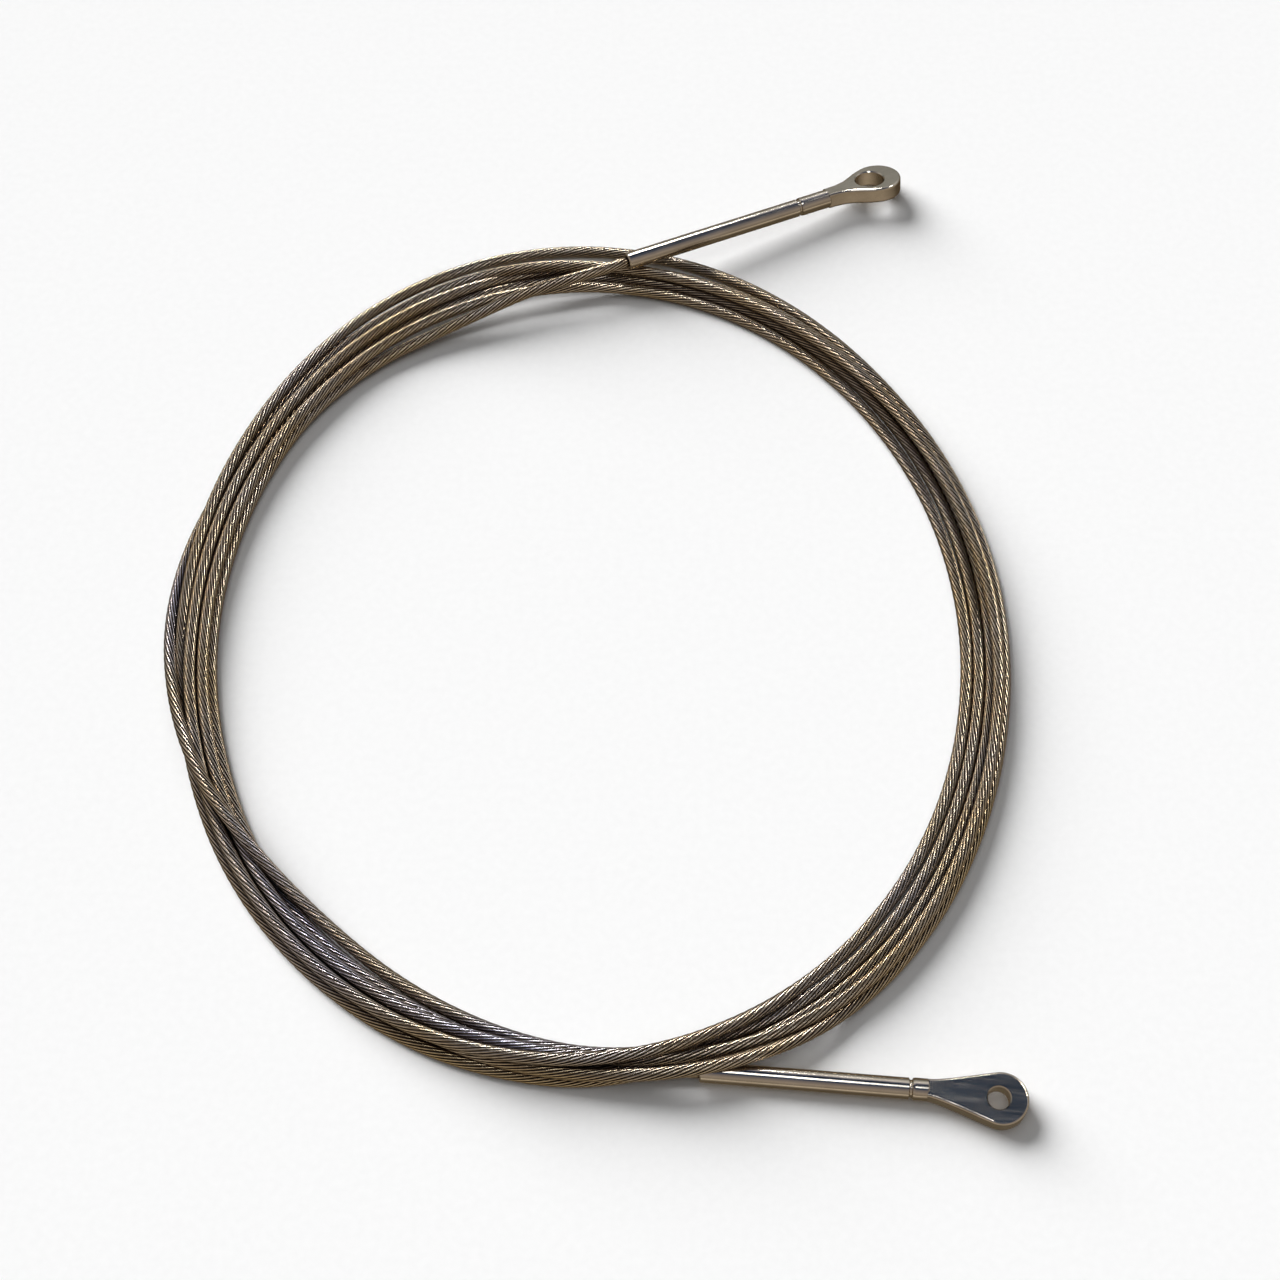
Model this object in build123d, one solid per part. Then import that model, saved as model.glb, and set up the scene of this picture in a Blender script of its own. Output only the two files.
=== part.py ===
from build123d import *
import math
import os

# A coiled wire-rope stay: one length of 1x19 strand with a swaged eye terminal on each end.
# Z is up and the coil lies on Z = 0. Sizes are in millimetres and angles in degrees.

# The strand
ROPE_DIAMETER = 4.0
WIRE_DIAMETER = ROPE_DIAMETER / 5
WIRE_GAP = 0.01
WIRE_LAYERS = (("king_wire", 1, 0.0), ("inner_wire", 6, WIRE_DIAMETER), ("outer_wire", 12, 2 * WIRE_DIAMETER))

# The coil: an oval ring of turns, wider at the back and on the left than in front
COIL_CENTRE = (-70.26, -15.97)
INNER_HALF = (122.0, 141.0)
OUTER_HALF = (139.0, 159.5)
OUTER_SHIFT = (-1.5, 4.0)
COIL_HEIGHT = 7.4
COIL_ROUNDING = 1.8

# Both terminals
SHANK_DIAMETER = 6.35
MOUTH_CHAMFER = 0.4
BORE_CLEARANCE = 0.03
DRILL_POINT = 1.2
GROOVE_RADIUS = 0.6
COLLAR_STEP = 0.15
NECK_RADIUS = 2.8
HEAD_THICKNESS = 5.8
HEAD_ROUNDING = 0.8
EYE_CHAMFER = 0.35

# Where a head's side runs into its round end, as an angle from the tip, and how far the
# side is already in line with the end there, as a share of the head's length
SIDE_MEETS_END = 106.0
SIDE_IN_LINE = 0.28

# Each terminal: its own lengths, how far its neck runs on before the head widens, and the
# small angle at which the head is set on. Then its mouth in the coil's plan, its heading,
# climb and roll.
LOWER = dict(
    shank=62.0, socket=50.0, collar=5.0, head=29.5, head_width=16.0, eye=6.7, eye_to_tip=8.8,
    neck=3.0, head_turn=-4.0, mouth=(34.0, -150.5, 3.18), heading=-5.0, climb=0.6, roll=3.0,
)
UPPER = dict(
    shank=69.2, socket=56.0, collar=12.0, head=29.5, head_width=17.5, eye=10.6, eye_to_tip=11.8,
    neck=11.0, head_turn=-1.5, mouth=(11.7, 148.2, 12.2), heading=25.0, climb=-3.8, roll=-18.0,
)

# The last stretch of rope, by bearing clockwise from the front, rope widths outside the
# inner edge, and height. It leaves the coil at its inner edge and climbs over the other turns.
STUB_ROUTE = ((128, 0.75, 2.6), (136, 0.35, 2.8), (143, -0.25, 3.2), (149, -0.75, 4.4))
LEAD_ROUTE = ((155, -1.0, 6.2), (162, -0.85, 8.6), (169, -0.35, 10.8))
LAST_RUN = 14.0


def on_coil(bearing, lane, height):
    """The point at a bearing, so many rope widths outside the coil's inner edge."""
    turn = math.radians(bearing)
    inner = Vector(-INNER_HALF[0] * math.sin(turn), -INNER_HALF[1] * math.cos(turn))
    point = inner + inner.normalized() * (lane * ROPE_DIAMETER)
    return Vector(COIL_CENTRE[0] + point.X, COIL_CENTRE[1] + point.Y, height)


def placing(terminal):
    """The place of a terminal that was drawn along +X with its mouth at the origin."""
    x, y, z = terminal["mouth"]
    at = Location((COIL_CENTRE[0] + x, COIL_CENTRE[1] + y, z))
    heading = Location((0, 0, 0), (0, 0, terminal["heading"]))
    climb = Location((0, 0, 0), (0, -terminal["climb"], 0))
    roll = Location((0, 0, 0), (terminal["roll"], 0, 0))
    return at * heading * climb * roll


def barrel(terminal):
    """The turned part: the swaged shank with its blind socket, the groove and the collar."""
    radius = SHANK_DIAMETER / 2
    collar_radius = radius + COLLAR_STEP
    socket_radius = ROPE_DIAMETER / 2 + BORE_CLEARANCE
    groove = terminal["shank"]
    end = groove + terminal["collar"]
    nose = end + collar_radius - NECK_RADIUS
    with BuildPart() as turned:
        with BuildSketch(Plane.XY):
            with BuildLine():
                Polyline(
                    (0, socket_radius), (0, radius - MOUTH_CHAMFER), (MOUTH_CHAMFER, radius),
                    (groove - GROOVE_RADIUS, radius),
                )
                ThreePointArc(
                    (groove - GROOVE_RADIUS, radius), (groove, radius - GROOVE_RADIUS),
                    (groove + GROOVE_RADIUS, radius),
                )
                Polyline(
                    (groove + GROOVE_RADIUS, radius), (groove + 2 * GROOVE_RADIUS, collar_radius),
                    (end, collar_radius), (nose, NECK_RADIUS), (nose, 0),
                    (terminal["socket"] + DRILL_POINT, 0), (terminal["socket"], socket_radius),
                    (0, socket_radius),
                )
            make_face()
        revolve(axis=Axis.X)
    return turned.part


def head(terminal):
    """The flat eye: a teardrop slab with rounded edges and a chamfered pin hole."""
    length = terminal["head"]
    end_radius = terminal["head_width"] / 2
    meets = math.radians(SIDE_MEETS_END)
    reach = SIDE_IN_LINE * length
    end_x = length - end_radius + end_radius * math.cos(meets)
    end_y = end_radius * math.sin(meets)
    side = (
        (0, NECK_RADIUS), (terminal["neck"], NECK_RADIUS),
        (end_x - reach * math.sin(meets), end_y + reach * math.cos(meets)), (end_x, end_y),
    )
    with BuildPart() as flat:
        with BuildSketch(Plane.XY):
            with BuildLine():
                Bezier(*side)
                ThreePointArc((end_x, end_y), (length, 0), (end_x, -end_y))
                Bezier(*[(x, -y) for x, y in reversed(side)])
                Line((0, -NECK_RADIUS), (0, NECK_RADIUS))
            make_face()
        extrude(amount=HEAD_THICKNESS / 2, both=True)
        faces = flat.faces().sort_by(Axis.Z)
        rounded = [edge for edge in faces[0].edges() + faces[-1].edges() if edge.center().X > 1e-6]
        fillet(rounded, radius=HEAD_ROUNDING)
        with BuildSketch(Plane.XY):
            with Locations((length - terminal["eye_to_tip"], 0)):
                Circle(terminal["eye"] / 2)
        extrude(amount=HEAD_THICKNESS, both=True, mode=Mode.SUBTRACT)
        rims = [edge for edge in flat.edges().filter_by(GeomType.CIRCLE)
                if abs(edge.radius - terminal["eye"] / 2) < 1e-6]
        chamfer(rims, length=EYE_CHAMFER)
    return head_place(terminal) * flat.part


def head_place(terminal):
    """Where the head starts, at the end of the collar, in the terminal's own frame."""
    return Location((terminal["shank"] + terminal["collar"], 0, 0), (0, 0, terminal["head_turn"]))


def eye_terminal(terminal):
    """One terminal, in its place."""
    body = barrel(terminal) + head(terminal)
    return placing(terminal) * body.solids()[0]


def swaged_wires(side, terminal):
    """The ends of the nineteen wires, held in the socket, from the mouth to near its bottom."""
    wires = {}
    radius = WIRE_DIAMETER / 2 - WIRE_GAP
    for layer, count, pitch_radius in WIRE_LAYERS:
        for number in range(count):
            turn = 2 * math.pi * number / count
            centre = (0, pitch_radius * math.cos(turn), pitch_radius * math.sin(turn))
            wire = extrude(Plane(origin=centre, z_dir=(1, 0, 0)) * Circle(radius), terminal["socket"])
            name = f"{side}_{layer}" if count == 1 else f"{side}_{layer}_{number + 1:02d}"
            wires[name] = placing(terminal) * wire.solids()[0]
    return wires


def corner_radii(points):
    """The largest arc at each corner that the two runs beside it leave room for."""
    radii = []
    for before, at, after in zip(points, points[1:], points[2:]):
        turn = (at - before).get_angle(after - at)
        shorter = min((at - before).length, (after - at).length)
        radii.append(0.45 * shorter / math.tan(math.radians(turn / 2)))
    return radii


def tube(points):
    """A round rope along straight runs joined by tangent arcs, and the path's length."""
    path = FilletPolyline(*points, radius=corner_radii(points))
    start = Plane(origin=path @ 0, z_dir=path % 0)
    return sweep(start * Circle(ROPE_DIAMETER / 2), path=path), path.length


def lead_points():
    """The route of the last stretch, ending straight into the upper terminal's mouth."""
    mouth = placing(UPPER)
    before = mouth * Location((-LAST_RUN, 0, 0))
    return [on_coil(*STUB_ROUTE[-1])] + [on_coil(*stop) for stop in LEAD_ROUTE] + [
        before.position, mouth.position
    ]


def coil():
    """The outer shape of all the turns, with the stub of the last one that stands inside it.

    The turns lie over the lower terminal's shank, which leaves a channel under them.
    """
    x, y = COIL_CENTRE
    with BuildPart() as ring:
        with BuildSketch(Plane.XY):
            with Locations((x + OUTER_SHIFT[0], y + OUTER_SHIFT[1])):
                Ellipse(*OUTER_HALF)
            with Locations((x, y)):
                Ellipse(*INNER_HALF, mode=Mode.SUBTRACT)
        extrude(amount=COIL_HEIGHT)
        faces = ring.faces().sort_by(Axis.Z)
        fillet(faces[0].edges() + faces[-1].edges(), radius=COIL_ROUNDING)
    stub, _ = tube([on_coil(*stop) for stop in STUB_ROUTE])
    across = Plane(origin=(0, 0, 0), x_dir=(0, 1, 0), z_dir=(1, 0, 0))
    below = Pos(0, -SHANK_DIAMETER / 2) * Rectangle(SHANK_DIAMETER, SHANK_DIAMETER)
    profile = Circle(SHANK_DIAMETER / 2) + below
    channel = placing(dict(LOWER, roll=0)) * extrude(across * profile, LOWER["shank"])
    whole = ring.part + stub - channel
    return whole.solids().sort_by(SortBy.VOLUME)[-1]


def main():
    os.makedirs("parts", exist_ok=True)
    nodes = {"lower_terminal": eye_terminal(LOWER), "upper_terminal": eye_terminal(UPPER)}
    nodes.update(swaged_wires("lower", LOWER))
    nodes.update(swaged_wires("upper", UPPER))
    nodes["rope_coil"] = coil()
    points = lead_points()
    lead, length = tube(points)
    nodes["rope_upper_lead"] = lead.solids()[0]
    for name, solid in nodes.items():
        export_step(solid, f"parts/{name}.step")
    section = math.pi * ROPE_DIAMETER**2 / 4
    print("lead radii, mm:", [round(radius, 1) for radius in corner_radii(points)])
    print("lead runs, mm:", [round((b - a).length, 1) for a, b in zip(points, points[1:])])
    print(f"lead volume {lead.volume:.1f} of {section * length:.1f} mm3, length {length:.1f} mm")
    both = Compound([nodes["lower_terminal"], nodes["upper_terminal"]]).bounding_box()
    print("terminals' box centre and lowest point, mm:",
          round(both.center().X, 2), round(both.center().Y, 2), round(both.min.Z, 3))


main()
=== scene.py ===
import math

import bpy
from mathutils import Matrix, Vector


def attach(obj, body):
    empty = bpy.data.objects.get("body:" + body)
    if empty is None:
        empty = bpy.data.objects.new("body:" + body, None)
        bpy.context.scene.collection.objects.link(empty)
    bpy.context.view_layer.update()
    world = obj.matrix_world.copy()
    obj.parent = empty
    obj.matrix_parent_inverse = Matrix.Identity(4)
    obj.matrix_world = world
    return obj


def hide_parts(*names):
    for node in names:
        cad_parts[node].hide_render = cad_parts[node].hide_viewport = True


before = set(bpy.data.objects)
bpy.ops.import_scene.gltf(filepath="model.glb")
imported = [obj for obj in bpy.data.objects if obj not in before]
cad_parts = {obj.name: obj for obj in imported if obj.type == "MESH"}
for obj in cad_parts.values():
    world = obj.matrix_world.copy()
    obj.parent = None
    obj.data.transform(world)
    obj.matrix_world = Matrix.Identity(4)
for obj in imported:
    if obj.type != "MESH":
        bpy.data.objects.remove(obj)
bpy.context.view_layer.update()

# A coiled wire-rope stay with a swaged eye terminal on each end, lying on a pale floor.
# Blender's unit is the metre. Routes are given in millimetres, in the part's own frame.
MM = 0.001

# The rope and its coil, as in the CAD model
ROPE_DIAMETER = 4.0
COIL_CENTRE = (-70.26, -15.97)
INNER_HALF = (122.0, 141.0)
LEVEL_RISE = 0.866 * ROPE_DIAMETER

# The two mouths, and the directions in which the terminals point away from them
LOWER_MOUTH = dict(at=(34.0, -150.5, 3.18), heading=-5.0, climb=0.6, roll=3.0)
UPPER_MOUTH = dict(at=(11.7, 148.2, 12.2), heading=25.0, climb=-3.8, roll=-18.0)
STRAIGHT_OUT = 9.0
STRAIGHT_IN = 14.0

# The turns, from the lower terminal to the upper one. A stop is a bearing in degrees clockwise
# from the front, the distance outside the coil's inner edge in rope widths, and the level:
# 0 on the floor, 1 on other turns, 2 on top of those. Most of these stops weren't chosen by hand:
# a separate script worked them out from places read by eye off the photo.
TURNS = (
    ((-3, 2.9, 0.15), (0, 2.78, 0), (18, 2.6, 0), (42, 2.65, 0), (56, 2.6, 0), (66, 2.45, 0),
     (76, 2.5, 0), (85, 2.68, 0.4), (95, 2.83, 1), (107, 3.19, 1), (115, 3.37, 1),
     (130, 3.95, 1), (147, 4.8, 0.4), (163, 5.29, 0), (179, 5.06, 0), (195, 4.53, 0),
     (217, 3.45, 0), (231, 2.83, 0), (247, 2.95, 0), (261, 3.22, 0), (277, 3.42, 0),
     (289, 3.65, 0), (301, 4.05, 0), (315, 4.42, 0), (324, 4.47, 0.1), (331, 4.45, 0.7),
     (339, 4.2, 1.75), (346, 3.85, 2), (352, 3.5, 2)),
    ((0, 2.95, 1.15), (8, 2.75, 1), (16, 2.45, 0.7), (25, 2, 0), (42, 1.85, 0), (56, 2, 0),
     (71, 1.95, 0), (95, 1.9, 0), (115, 2.05, 0), (147, 2.29, 0), (179, 2.09, 0), (201, 1.8, 0),
     (228, 1.55, 0), (255, 1.4, 0), (280, 1.42, 0), (301, 1.72, 0), (313, 1.93, 0),
     (325, 1.93, 0), (337, 1.76, 0), (348, 1.4, 0)),
    ((0, 0.96, 0), (13, 0.15, 0), (25, -0.35, 0), (37, -0.6, 0), (46, -0.22, 0.2), (55, 0.6, 1),
     (64, 1.8, 2), (69, 2.46, 2), (75, 2.9, 1), (85, 3.77, 0.4), (95, 4.18, 0), (105, 3.8, 0),
     (113, 3.41, 0), (126, 3.37, 0), (147, 3.65, 0), (163, 3.26, 0.4), (174, 2.53, 1),
     (190, 2.15, 1), (218, 1.7, 1.3), (237, 1.78, 1.4), (254, 2.2, 1.3), (273, 2.77, 1.1),
     (290, 3.21, 1), (301, 3.61, 1), (314, 3.96, 1), (323, 3.95, 1), (337, 3.14, 1),
     (350, 2.18, 1)),
    ((0, 1.48, 1), (10, 1.17, 1), (23, 1.28, 0.7), (41, 1.55, 0.6), (56, 1.54, 0.6),
     (70, 1.31, 0.7), (94, 1.11, 1), (115, 1.1, 1), (146, 0.76, 1), (162, 0.49, 1),
     (173, 0.36, 1), (184, 0.62, 0.4), (195, 0.77, 0), (228, 0.2, 0), (255, 0.21, 0),
     (280, 0.49, 0), (301, 0.74, 0), (327, 0.96, 0), (337, 1.22, 1), (346, 1.64, 2)),
    ((0, 1.98, 2), (13, 2.27, 2), (22, 2.32, 1.3), (41, 2.45, 1.15), (62, 2.42, 1.2),
     (70, 2.3, 1.2), (80, 2.32, 1), (115, 2.35, 1), (146, 2.32, 1), (163, 2.63, 0.4),
     (179, 3.07, 0), (201, 2.8, 0.2), (228, 2.3, 0.5), (254, 2.2, 0.5), (280, 2.3, 0.2),
     (301, 2.69, 0), (313, 2.9, 0), (332, 2.67, 0), (346, 2.37, 0)),
    ((0, 1.96, 0), (11, 0.95, 0), (18, 0.52, 0), (33, 0.25, 0), (42, 0.4, 0), (61, 0.57, 0),
     (70, 0.47, 0), (85, 0.58, 0), (100, 0.64, 0), (120, 0.8, 0)),
)
BEARING_STEP = 10

# Turns that are in each other's way are pushed apart in passes, towards a little air between
# them. Each pass also evens the shifts out along the rope and lets some of them go, less and less.
SETTLING_PASSES = 120
EVENING = 0.3
LETTING_GO = 0.03
AIR = 1.01

# The last stretch isn't coiled: bearing, rope widths outside the inner edge, and height. The
# CAD model's own points for it lie up to about a millimetre from these.
LAST_STRETCH = (
    (128, 0.75, 2.6), (136, 0.38, 2.8), (143, -0.05, 3.2), (149, -0.55, 4.0), (155, -0.87, 5.4),
    (162, -0.92, 7.8), (169, -0.52, 10.3),
)

# The strand: outer wires laid to the left round a core
OUTER_WIRES = 12
WIRE_RADIUS = 0.4
PITCH_RADIUS = 1.6
CORE_RADIUS = 1.5
LAY_LENGTH = 42.0
RINGS_PER_LAY = 24
WIRE_SIDES = 6

# The stage and how far away the mirrored panels are, in metres
FLOOR_SIZE = 6.0
WALL_RADIUS = 2.9
WALL_HEIGHT = 4.0
WALL_BELOW_FLOOR = 0.1
PANEL_DISTANCE = 2.2

# The camera: its angle above the floor in degrees, its distance in metres, its lens and sensor in
# millimetres, and the place that it looks at in millimetres from the coil's centre
CAMERA_ELEVATION = 60.0
CAMERA_DISTANCE = 0.730
CAMERA_LENS = 62.62
CAMERA_SENSOR = 36.0
LOOKED_AT = (16.3, -3.8, 4.0)

# Where the wires get a painted reflection tint: a bearing and its reach, a distance outside the
# inner edge and its reach in rope widths, and the tint there, from -1 for a painted lavender
# reflection to 1 for a painted golden one
PAINTED_REFLECTION_TINTS = (
    (-12, 16, 0.0, 1.3, -0.8), (12, 18, 0.9, 1.3, -0.9), (44, 22, 1.3, 1.9, -1.0),
    (92, 18, 4.3, 0.8, -0.8), (140, 22, 4.2, 0.9, -0.5), (290, 34, 4.4, 0.8, 0.6),
    (14, 26, 3.0, 0.8, 0.6), (312, 30, 1.2, 1.8, -0.4),
)


def mouth_axis(mouth):
    """A terminal's mouth in the part's frame, and the direction its shank points in."""
    heading, climb = math.radians(mouth["heading"]), math.radians(mouth["climb"])
    x, y, z = mouth["at"]
    level = math.cos(climb)
    along = Vector((math.cos(heading) * level, math.sin(heading) * level, math.sin(climb)))
    return Vector((COIL_CENTRE[0] + x, COIL_CENTRE[1] + y, z)), along


def mouth_side(mouth):
    """The direction, across a mouth, in which the first of its twelve outer wires lies."""
    heading = Matrix.Rotation(math.radians(mouth["heading"]), 3, "Z")
    climb = Matrix.Rotation(math.radians(-mouth["climb"]), 3, "Y")
    roll = Matrix.Rotation(math.radians(mouth["roll"]), 3, "X")
    return heading @ climb @ roll @ Vector((0, 1, 0))


def smooth_between(stops, bearing, value):
    """The value at a bearing on a smooth line through the stops."""
    after = next((i for i, stop in enumerate(stops) if stop[0] > bearing), len(stops) - 1)
    after = max(after, 1)
    low, high = stops[after - 1], stops[after]

    def slope(index):
        first, last = stops[max(index - 1, 0)], stops[min(index + 1, len(stops) - 1)]
        return (last[value] - first[value]) / (last[0] - first[0])

    span = high[0] - low[0]
    t = (bearing - low[0]) / span
    return (
        (2 * t**3 - 3 * t**2 + 1) * low[value] + (t**3 - 2 * t**2 + t) * span * slope(after - 1)
        + (3 * t**2 - 2 * t**3) * high[value] + (t**3 - t**2) * span * slope(after)
    )


def settled(bearings, lanes, heights):
    """Turns in each other's way are pushed apart, though at some crossings they still overlap."""
    columns = {}
    for index, bearing in enumerate(bearings):
        columns.setdefault(bearing % 360, []).append(index)
    places = [[lane * ROPE_DIAMETER, height] for lane, height in zip(lanes, heights)]
    wanted = [place[:] for place in places]
    last = len(places) - 1
    for number in range(SETTLING_PASSES):
        ease = 1 - number / SETTLING_PASSES
        moved = [[p - w for p, w in zip(place, want)] for place, want in zip(places, wanted)]
        for index in range(len(places)):
            for side in (0, 1):
                shift = moved[index][side]
                if 0 < index < last:
                    beside = (moved[index - 1][side] + moved[index + 1][side]) / 2
                    shift += EVENING * ease * (beside - shift)
                places[index][side] = wanted[index][side] + shift * (1 - LETTING_GO * ease)
        for column in columns.values():
            for order, first in enumerate(column):
                for second in column[order + 1:]:
                    across = places[second][0] - places[first][0]
                    up = places[second][1] - places[first][1]
                    apart = math.hypot(across, up)
                    push = (AIR * ROPE_DIAMETER - apart) / 2
                    if push > 0 and apart > 0:
                        for index, sign in ((first, -1), (second, 1)):
                            places[index][0] += sign * push * across / apart
                            places[index][1] += sign * push * up / apart
            for index in column:
                places[index][1] = max(places[index][1], ROPE_DIAMETER / 2)
    return places


def beside_coil(bearing, outside, height):
    """The point at a bearing, so far outside the coil's inner edge."""
    turn = math.radians(bearing)
    inner = Vector((-INNER_HALF[0] * math.sin(turn), -INNER_HALF[1] * math.cos(turn), 0))
    place = inner + inner.normalized() * outside
    return Vector((COIL_CENTRE[0] + place.x, COIL_CENTRE[1] + place.y, height))


def rope_route():
    """The spline's control points, from the lower mouth round the coil to the upper mouth."""
    stops = [(360 * turn + bearing, lane, level)
             for turn, row in enumerate(TURNS) for bearing, lane, level in row]
    bearings = list(range(0, int(stops[-1][0]) + 1, BEARING_STEP))
    lanes = [smooth_between(stops, bearing, 1) for bearing in bearings]
    levels = [smooth_between(stops, bearing, 2) for bearing in bearings]
    floor = ROPE_DIAMETER / 2
    heights = [max(floor + LEVEL_RISE * level, floor) for level in levels]
    # A spline runs inside its control points, so these stand as far outside the coil
    sag = max(INNER_HALF) * (1 / math.cos(math.radians(BEARING_STEP / 2)) - 1)
    points = [beside_coil(bearing, out + sag, height)
              for bearing, (out, height) in zip(bearings, settled(bearings, lanes, heights))]
    points += [beside_coil(bearing, lane * ROPE_DIAMETER, height)
               for bearing, lane, height in LAST_STRETCH]
    lower, lower_along = mouth_axis(LOWER_MOUTH)
    upper, upper_along = mouth_axis(UPPER_MOUTH)
    start = [lower, lower - lower_along * STRAIGHT_OUT]
    return start + points + [upper - upper_along * STRAIGHT_IN, upper]


def rope_curve(name, points, radius):
    """One open NURBS spline with those control points."""
    curve = bpy.data.curves.new(name, "CURVE")
    curve.dimensions = "3D"
    spline = curve.splines.new("NURBS")
    spline.points.add(len(points) - 1)
    for control, point in zip(spline.points, points):
        control.co = (*(point * MM), 1)
    spline.order_u = 3
    spline.use_endpoint_u = True
    spline.resolution_u = 12
    curve.bevel_depth = radius * MM
    curve.bevel_resolution = 2
    curve.use_fill_caps = True
    piece = bpy.data.objects.new(name, curve)
    bpy.context.collection.objects.link(piece)
    return piece


def read_line(points):
    """The spline's own line through those control points, as Blender works it out."""
    plain = rope_curve("plain_line", points, 0)
    line = [Vector(vertex.co) for vertex in bpy.data.meshes.new_from_object(plain).vertices]
    bpy.data.objects.remove(plain)
    return line


def even_steps(line, step):
    """Points at equal distances along a line, both ends included."""
    lengths = [(b - a).length for a, b in zip(line, line[1:])]
    total = sum(lengths)
    count = round(total / step)
    points, index, passed = [], 0, 0.0
    for number in range(count + 1):
        wanted = total * number / count
        while index < len(lengths) - 1 and passed + lengths[index] < wanted:
            passed += lengths[index]
            index += 1
        points.append(line[index].lerp(line[index + 1], (wanted - passed) / lengths[index]))
    return points, total


def untwisted_frames(points, first_side):
    """At each point the line's direction and two directions across it, carried along untwisted."""
    frames = []
    side = first_side
    for index, point in enumerate(points):
        before, after = points[max(index - 1, 0)], points[min(index + 1, len(points) - 1)]
        along = (after - before).normalized()
        side = (side - along * side.dot(along)).normalized()
        frames.append((along, side, along.cross(side)))
    return frames


def lay_turns(frames, total):
    """The turning, in radians, that the wires make along the rope to meet their upper ends too."""
    along, side, other = frames[-1]
    end_side = mouth_side(UPPER_MOUTH)
    between = math.atan2(end_side.dot(other), end_side.dot(side))
    wire_step = 2 * math.pi / OUTER_WIRES
    wanted = -2 * math.pi * total / (LAY_LENGTH * MM)
    return between + wire_step * round((wanted - between) / wire_step)


def tint_at(point):
    """The painted reflection tint of the rope at a point on its line."""
    x, y = point.x / MM - COIL_CENTRE[0], point.y / MM - COIL_CENTRE[1]
    turn = math.atan2(-x / INNER_HALF[0], -y / INNER_HALF[1])
    inner = math.hypot(INNER_HALF[0] * math.sin(turn), INNER_HALF[1] * math.cos(turn))
    lane = (math.hypot(x, y) - inner) / ROPE_DIAMETER
    total = 0.0
    for bearing, reach, middle, width, reflection_tint in PAINTED_REFLECTION_TINTS:
        apart = (math.degrees(turn) - bearing + 180) % 360 - 180
        near = max(0, 1 - (apart / reach) ** 2) * max(0, 1 - ((lane - middle) / width) ** 2)
        total += reflection_tint * near
    return max(-1, min(1, total))


def outer_wire(number, points, frames, turning, tints):
    """One outer wire, wound round the core. Each point keeps how far out it lies and its painted
    reflection tint.
    """
    vertices, outward, tinted = [], [], []
    last = len(points) - 1
    slant = math.atan(2 * math.pi * PITCH_RADIUS / LAY_LENGTH)
    wide = WIRE_RADIUS / math.cos(slant)
    for index, (point, (along, side, other)) in enumerate(zip(points, frames)):
        angle = 2 * math.pi * number / OUTER_WIRES + turning * index / last
        out = side * math.cos(angle) + other * math.sin(angle)
        across = other * math.cos(angle) - side * math.sin(angle)
        for corner in range(WIRE_SIDES):
            around = 2 * math.pi * corner / WIRE_SIDES
            reach = PITCH_RADIUS + WIRE_RADIUS * math.cos(around)
            offset = out * reach + across * (wide * math.sin(around))
            vertices.append(point + offset * MM)
            outward.append(0.5 + 0.5 * math.cos(around))
            tinted.append(0.5 + 0.5 * tints[index])
    faces = []
    for index in range(last):
        for corner in range(WIRE_SIDES):
            a = index * WIRE_SIDES + corner
            b = index * WIRE_SIDES + (corner + 1) % WIRE_SIDES
            faces.append((a, b, b + WIRE_SIDES, a + WIRE_SIDES))
    faces.append(tuple(reversed(range(WIRE_SIDES))))
    faces.append(tuple(range(last * WIRE_SIDES, (last + 1) * WIRE_SIDES)))
    name = f"rope_outer_wire_{number + 1:02d}"
    mesh = bpy.data.meshes.new(name)
    mesh.from_pydata(vertices, [], faces)
    mesh.polygons.foreach_set("use_smooth", [True] * len(faces))
    for label, values in (("outward", outward), ("reflection_tint", tinted)):
        mesh.attributes.new(label, "FLOAT", "POINT").data.foreach_set("value", values)
    piece = bpy.data.objects.new(name, mesh)
    bpy.context.collection.objects.link(piece)
    return piece


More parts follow.
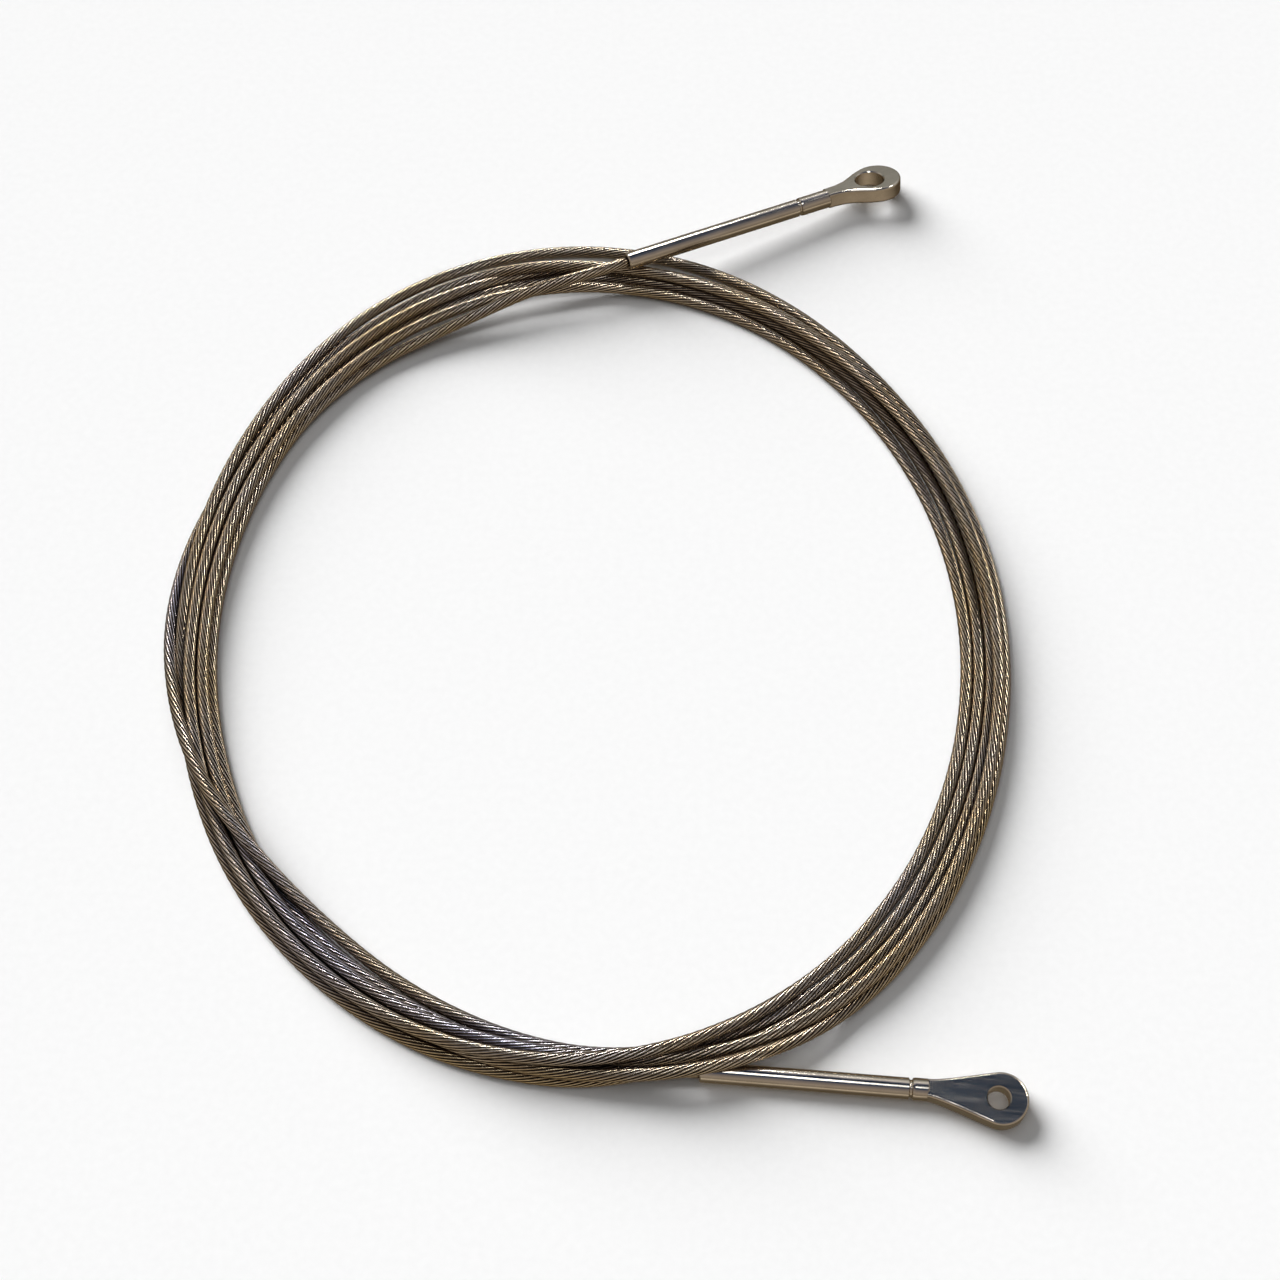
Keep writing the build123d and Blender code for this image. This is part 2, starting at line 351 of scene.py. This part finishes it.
class Shader:
    """The node tree of a material or of the world, with short ways to add to it."""

    def __init__(self, owner):
        owner.use_nodes = True
        self.owner = owner
        self.nodes = owner.node_tree.nodes
        self.links = owner.node_tree.links

    @property
    def surface(self):
        return self.nodes["Principled BSDF"]

    def add(self, kind, inputs=(), **settings):
        """A node with its settings, and its inputs set to a value or linked from another node."""
        node = self.nodes.new(kind)
        for setting, value in settings.items():
            setattr(node, setting, value)
        for socket, value in dict(inputs).items():
            self.put(node.inputs[socket], value)
        return node

    def put(self, socket, value):
        """The socket takes the value, or a link if the value is another node's output."""
        if isinstance(value, bpy.types.NodeSocket):
            self.links.new(value, socket)
        else:
            socket.default_value = value

    def place(self, turned=0.0, stretch=(1, 1, 1)):
        """The place on the object in metres, turned about Z and stretched."""
        where = self.add("ShaderNodeTexCoord").outputs["Object"]
        rotation = (0, 0, math.radians(-turned))
        turned_to = self.add("ShaderNodeMapping", {"Vector": where, "Rotation": rotation})
        inputs = {0: turned_to.outputs[0], 1: stretch}
        return self.add("ShaderNodeVectorMath", inputs, operation="MULTIPLY").outputs[0]

    def noise(self, where, scale, detail=3.0, roughness=0.5):
        inputs = {"Vector": where, "Scale": scale, "Detail": detail, "Roughness": roughness}
        return self.add("ShaderNodeTexNoise", inputs).outputs["Fac"]

    def between(self, fac, low, high, start=0.0, end=1.0):
        """A number that goes from low to high as fac goes from start to end."""
        inputs = {"Value": fac, "From Min": start, "From Max": end, "To Min": low, "To Max": high}
        return self.add("ShaderNodeMapRange", inputs).outputs[0]

    def colours(self, fac, *stops):
        """A colour ramp: pairs of a place and a colour."""
        ramp = self.add("ShaderNodeValToRGB", {"Fac": fac})
        elements = ramp.color_ramp.elements
        while len(elements) < len(stops):
            elements.new(0.5)
        for element, (place, colour) in zip(elements, stops):
            element.position = place
            element.color = (*colour, 1)
        return ramp.outputs["Color"]

    def mix(self, fac, first, second, blend="MIX"):
        """The first colour, mixed with the second as far as fac says."""
        mix = self.add("ShaderNodeMix", data_type="RGBA", blend_type=blend)
        by_name = {socket.identifier: socket for socket in mix.inputs}
        self.put(by_name["Factor_Float"], fac)
        self.put(by_name["A_Color"], first)
        self.put(by_name["B_Color"], second)
        return next(socket for socket in mix.outputs if socket.identifier == "Result_Color")

    def times(self, first, second):
        """The product of two colours."""
        return self.mix(1.0, first, second, "MULTIPLY")

    def bump(self, height, strength, distance):
        inputs = {"Height": height, "Strength": strength, "Distance": distance}
        return self.add("ShaderNodeBump", inputs).outputs["Normal"]


def new_material(name):
    return Shader(bpy.data.materials.new(name))


def terminal_steel(name, turned, bright, dull):
    """Polished swaged steel: faint drawn lines, smears, fine pits, and painted shade and a painted
    warm reflection that make the sides and undersides darker and browner.
    """
    steel = new_material(name)
    smears = steel.noise(steel.place(turned, (1, 2.5, 2.5)), 70, 4, 0.6)
    lines = steel.noise(steel.place(turned, (1, 30, 30)), 60, 3, 0.6)
    pits = steel.noise(steel.place(), 1500, 2, 0.6)
    # Painted shade and a painted golden floor reflection: surfaces facing sideways or down are
    # darker and browner than those facing up.
    facing = steel.add("ShaderNodeNewGeometry").outputs["Normal"]
    upward = steel.add("ShaderNodeSeparateXYZ", {0: facing}).outputs["Z"]
    painted_underside_shade = steel.colours(
        steel.between(upward, 0.0, 1.0, -1.0, 1.0),
        (0.3, (0.78, 0.69, 0.53)), (0.6, (0.68, 0.61, 0.52)), (0.85, (1.0, 1.0, 1.0)),
    )
    smeared = steel.colours(smears, (0.3, dull), (0.7, bright))
    steel.put(steel.surface.inputs["Base Color"], steel.times(smeared, painted_underside_shade))
    roughness = steel.between(lines, 0.09, 0.2, 0.3, 0.7)
    steel.put(steel.surface.inputs["Roughness"], roughness)
    steel.put(steel.surface.inputs["Metallic"], 1.0)
    drawn = steel.bump(lines, 0.15, 0.00003)
    pitted = steel.bump(pits, 0.12, 0.00002)
    steel.put(pitted.node.inputs["Normal"], drawn)
    steel.put(steel.surface.inputs["Normal"], pitted)
    return steel.owner


def wire_steel(name):
    """Drawn stainless wire: bright outside, dirt and painted shade towards the gaps and in the
    hollows, uneven tarnish, and painted lavender and golden reflection tints.
    """
    steel = new_material(name)
    outward = steel.add("ShaderNodeAttribute", attribute_name="outward").outputs["Fac"]
    reflection_tint = steel.add("ShaderNodeAttribute", attribute_name="reflection_tint").outputs["Fac"]
    patches = steel.noise(steel.place(), 30, 3, 0.6)
    flecks = steel.noise(steel.place(), 700, 2, 0.5)
    drift = steel.between(patches, -0.16, 0.16, 0.3, 0.7)
    drifted = steel.add("ShaderNodeMath", {0: reflection_tint, 1: drift}, operation="ADD").outputs[0]
    # Tarnish that drifts at random, shifted by the painted lavender and golden reflection tints.
    tarnish_and_painted_reflection = steel.colours(
        drifted, (0.05, (0.6, 0.6, 0.72)), (0.4, (0.68, 0.63, 0.57)),
        (0.6, (0.7, 0.6, 0.45)), (0.95, (0.8, 0.66, 0.4)),
    )
    # Dirt and painted shade: each wire darkens towards the gaps beside it, by how far out its
    # surface lies.
    dirt_and_shade = steel.colours(
        outward, (0.74, (0.1, 0.075, 0.05)), (0.84, (0.5, 0.46, 0.4)), (0.92, (1.0, 1.0, 1.0)),
    )
    worn = steel.colours(flecks, (0.35, (0.85, 0.82, 0.78)), (0.6, (1.0, 1.0, 1.0)))
    # Painted shade: the colour darkens and browns where little room is open round the surface, in
    # crevices and between wires.
    open_to = steel.add("ShaderNodeAmbientOcclusion", {"Distance": 0.004}, samples=6)
    painted_hollow_shade = steel.colours(
        open_to.outputs["AO"],
        (0.15, (0.3, 0.23, 0.17)), (0.45, (0.66, 0.61, 0.56)), (0.7, (1.0, 1.0, 1.0)),
    )
    colour_before_hollow_shade = steel.times(steel.times(tarnish_and_painted_reflection, dirt_and_shade), worn)
    steel.put(steel.surface.inputs["Base Color"], steel.times(colour_before_hollow_shade, painted_hollow_shade))
    roughness = steel.between(flecks, 0.16, 0.26, 0.3, 0.7)
    steel.put(steel.surface.inputs["Roughness"], roughness)
    steel.put(steel.surface.inputs["Metallic"], 1.0)
    steel.put(steel.surface.inputs["Normal"], steel.bump(flecks, 0.1, 0.00002))
    return steel.owner


def core_steel(name):
    """The inner wires, dark where they show between the outer ones: dirt with painted shade."""
    steel = new_material(name)
    dirt_and_shade = steel.noise(steel.place(), 600, 3, 0.6)
    shades = steel.colours(dirt_and_shade, (0.3, (0.05, 0.035, 0.02)), (0.7, (0.14, 0.11, 0.07)))
    steel.put(steel.surface.inputs["Base Color"], shades)
    roughness = steel.between(dirt_and_shade, 0.5, 0.75, 0.3, 0.7)
    steel.put(steel.surface.inputs["Roughness"], roughness)
    steel.put(steel.surface.inputs["Metallic"], 1.0)
    return steel.owner


def give(piece, material):
    """The piece's whole surface takes the material."""
    slots = piece.data.materials
    if not slots:
        slots.append(material)
    for index in range(len(slots)):
        slots[index] = material


def make_rope():
    """The core as a NURBS curve, and the twelve outer wires wound round it."""
    route = rope_route()
    core = rope_curve("rope_core", route, CORE_RADIUS)
    points, total = even_steps(read_line(route), LAY_LENGTH / RINGS_PER_LAY * MM)
    frames = untwisted_frames(points, mouth_side(LOWER_MOUTH))
    turning = lay_turns(frames, total)
    tints = [tint_at(point) for point in points]
    wires = [outer_wire(number, points, frames, turning, tints) for number in range(OUTER_WIRES)]
    wire_material = wire_steel("rope_wire_steel")
    give(core, core_steel("rope_core_steel"))
    for wire in wires:
        give(wire, wire_material)
    for piece in [core] + wires:
        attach(piece, "root")
    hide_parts("rope_coil", "rope_upper_lead")


def finish_terminals():
    """The CAD terminals and the wire ends inside them keep their shapes and get their steels."""
    lower = terminal_steel(
        "lower_terminal_steel", LOWER_MOUTH["heading"], (0.72, 0.67, 0.6), (0.58, 0.53, 0.46),
    )
    upper = terminal_steel(
        "upper_terminal_steel", UPPER_MOUTH["heading"], (0.7, 0.66, 0.6), (0.56, 0.52, 0.46),
    )
    looks = {"lower_terminal": lower, "upper_terminal": upper}
    wire_end = wire_steel("wire_end_steel")
    for name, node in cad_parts.items():
        if name in looks:
            give(node, looks[name])
        elif "wire" in name:
            give(node, wire_end)


def make_floor():
    """A plain white floor. The metal mirrors the room's brown lower half in place of it."""
    paint = new_material("floor_white")
    grain = paint.noise(paint.place(), 400, 2, 0.5)
    white = paint.colours(grain, (0.3, (0.9, 0.9, 0.9)), (0.7, (0.92, 0.92, 0.92)))
    paint.put(paint.surface.inputs["Base Color"], white)
    paint.put(paint.surface.inputs["Roughness"], 0.9)
    paint.put(paint.surface.inputs["Specular IOR Level"], 0.1)
    bpy.ops.mesh.primitive_plane_add(size=FLOOR_SIZE)
    floor = bpy.context.object
    floor.name = "floor"
    floor.visible_glossy = False
    give(floor, paint.owner)


def make_backdrop():
    """A plain pale wall round the floor, which only the camera sees."""
    paint = new_material("backdrop_pale")
    paint.put(paint.surface.inputs["Base Color"], (0, 0, 0, 1))
    paint.put(paint.surface.inputs["Specular IOR Level"], 0.0)
    paint.put(paint.surface.inputs["Emission Color"], (0.93, 0.93, 0.94, 1))
    paint.put(paint.surface.inputs["Emission Strength"], 1.0)
    bpy.ops.mesh.primitive_cylinder_add(
        radius=WALL_RADIUS, depth=WALL_HEIGHT, end_fill_type="NOTHING",
        location=(0, 0, WALL_HEIGHT / 2 - WALL_BELOW_FLOOR),
    )
    wall = bpy.context.object
    wall.name = "backdrop"
    wall.visible_glossy = False
    wall.visible_diffuse = False
    wall.visible_shadow = False
    give(wall, paint.owner)


def aim(thing, target):
    """The thing's own -Z axis points at the target, with its Y axis up."""
    thing.rotation_euler = (target - thing.location).to_track_quat("-Z", "Y").to_euler()


def make_camera():
    """The photo's view: from the front, well above the floor, looking to the back."""
    camera = bpy.data.objects.new("camera", bpy.data.cameras.new("camera"))
    bpy.context.collection.objects.link(camera)
    camera.data.lens = CAMERA_LENS
    camera.data.sensor_width = CAMERA_SENSOR
    x, y, z = LOOKED_AT
    target = Vector((COIL_CENTRE[0] + x, COIL_CENTRE[1] + y, z)) * MM
    elevation = math.radians(CAMERA_ELEVATION)
    back = Vector((0, -math.cos(elevation), math.sin(elevation)))
    camera.location = target + back * CAMERA_DISTANCE
    aim(camera, target)
    bpy.context.scene.camera = camera


def area_light(name, direction, distance, size, power, colour=(1, 1, 1), mirrored=True):
    """A soft box in that direction, that either only metal mirrors or only lights the floor."""
    lamp = bpy.data.lights.new(name, "AREA")
    lamp.shape = "RECTANGLE"
    lamp.size, lamp.size_y = size
    lamp.energy = power
    lamp.color = colour
    light = bpy.data.objects.new(name, lamp)
    bpy.context.collection.objects.link(light)
    centre = Vector((COIL_CENTRE[0], COIL_CENTRE[1], 0)) * MM
    light.location = centre + Vector(direction).normalized() * distance
    aim(light, centre)
    light.visible_glossy = mirrored
    light.visible_diffuse = not mirrored


def sun_light(name, direction, width, strength):
    """A far soft light in that direction, so many degrees wide, which metal doesn't mirror."""
    lamp = bpy.data.lights.new(name, "SUN")
    lamp.energy = strength
    lamp.angle = math.radians(width)
    light = bpy.data.objects.new(name, lamp)
    bpy.context.collection.objects.link(light)
    light.location = Vector(direction)
    aim(light, Vector((0, 0, 0)))
    light.visible_glossy = False


def make_room():
    """Surroundings for metal to mirror: dark above, grey at the back, brown in front and low."""
    world = bpy.data.worlds.new("room")
    room = Shader(world)
    direction = room.add("ShaderNodeTexCoord").outputs["Generated"]
    parts = room.add("ShaderNodeSeparateXYZ", {0: direction})
    height = room.between(parts.outputs["Z"], 0.0, 1.0, -1.0, 1.0)
    back = room.colours(
        height, (0.3, (0.1, 0.075, 0.05)), (0.48, (0.25, 0.2, 0.14)), (0.52, (0.12, 0.13, 0.13)),
        (0.65, (0.32, 0.31, 0.28)), (0.8, (0.5, 0.48, 0.45)), (0.89, (0.2, 0.2, 0.26)),
        (0.93, (0.008, 0.018, 0.04)),
    )
    front = room.colours(
        height, (0.25, (0.14, 0.12, 0.09)), (0.38, (0.34, 0.29, 0.23)),
        (0.46, (0.72, 0.64, 0.5)), (0.52, (0.24, 0.2, 0.16)), (0.56, (0.24, 0.2, 0.16)),
        (0.75, (0.3, 0.25, 0.2)), (0.92, (0.17, 0.15, 0.15)), (0.98, (0.03, 0.05, 0.09)),
    )
    to_back = room.between(parts.outputs["Y"], 0.0, 1.0, -0.15, 0.35)
    background = room.nodes["Background"]
    room.put(background.inputs["Color"], room.mix(to_back, front, back))
    room.put(background.inputs["Strength"], 1.2)
    world.cycles_visibility.diffuse = False
    bpy.context.scene.world = world


def make_lights():
    """A soft key from the back left and a fill for the floor, and panels that metal mirrors."""
    sun_light("key_light", (-0.6, 0.6, 0.44), 44, 5.7)
    area_light("fill_light", (0.0, -0.1, 1.0), 2.5, (3.0, 3.0), 20, mirrored=False)
    pale, warm = (1.0, 0.98, 0.94), (1.0, 0.95, 0.85)
    area_light("back_panel", (0.0, 0.79, 0.62), PANEL_DISTANCE, (0.34, 0.3), 13, pale)
    area_light("right_panel", (0.58, 0.38, 0.73), PANEL_DISTANCE, (0.3, 0.34), 9, warm)
    area_light("top_panel", (0.0, -0.05, 1.0), PANEL_DISTANCE, (0.5, 0.55), 3.6)


make_camera()
make_rope()
finish_terminals()
make_floor()
make_backdrop()
make_room()
make_lights()
bpy.context.scene.view_settings.view_transform = "Standard"
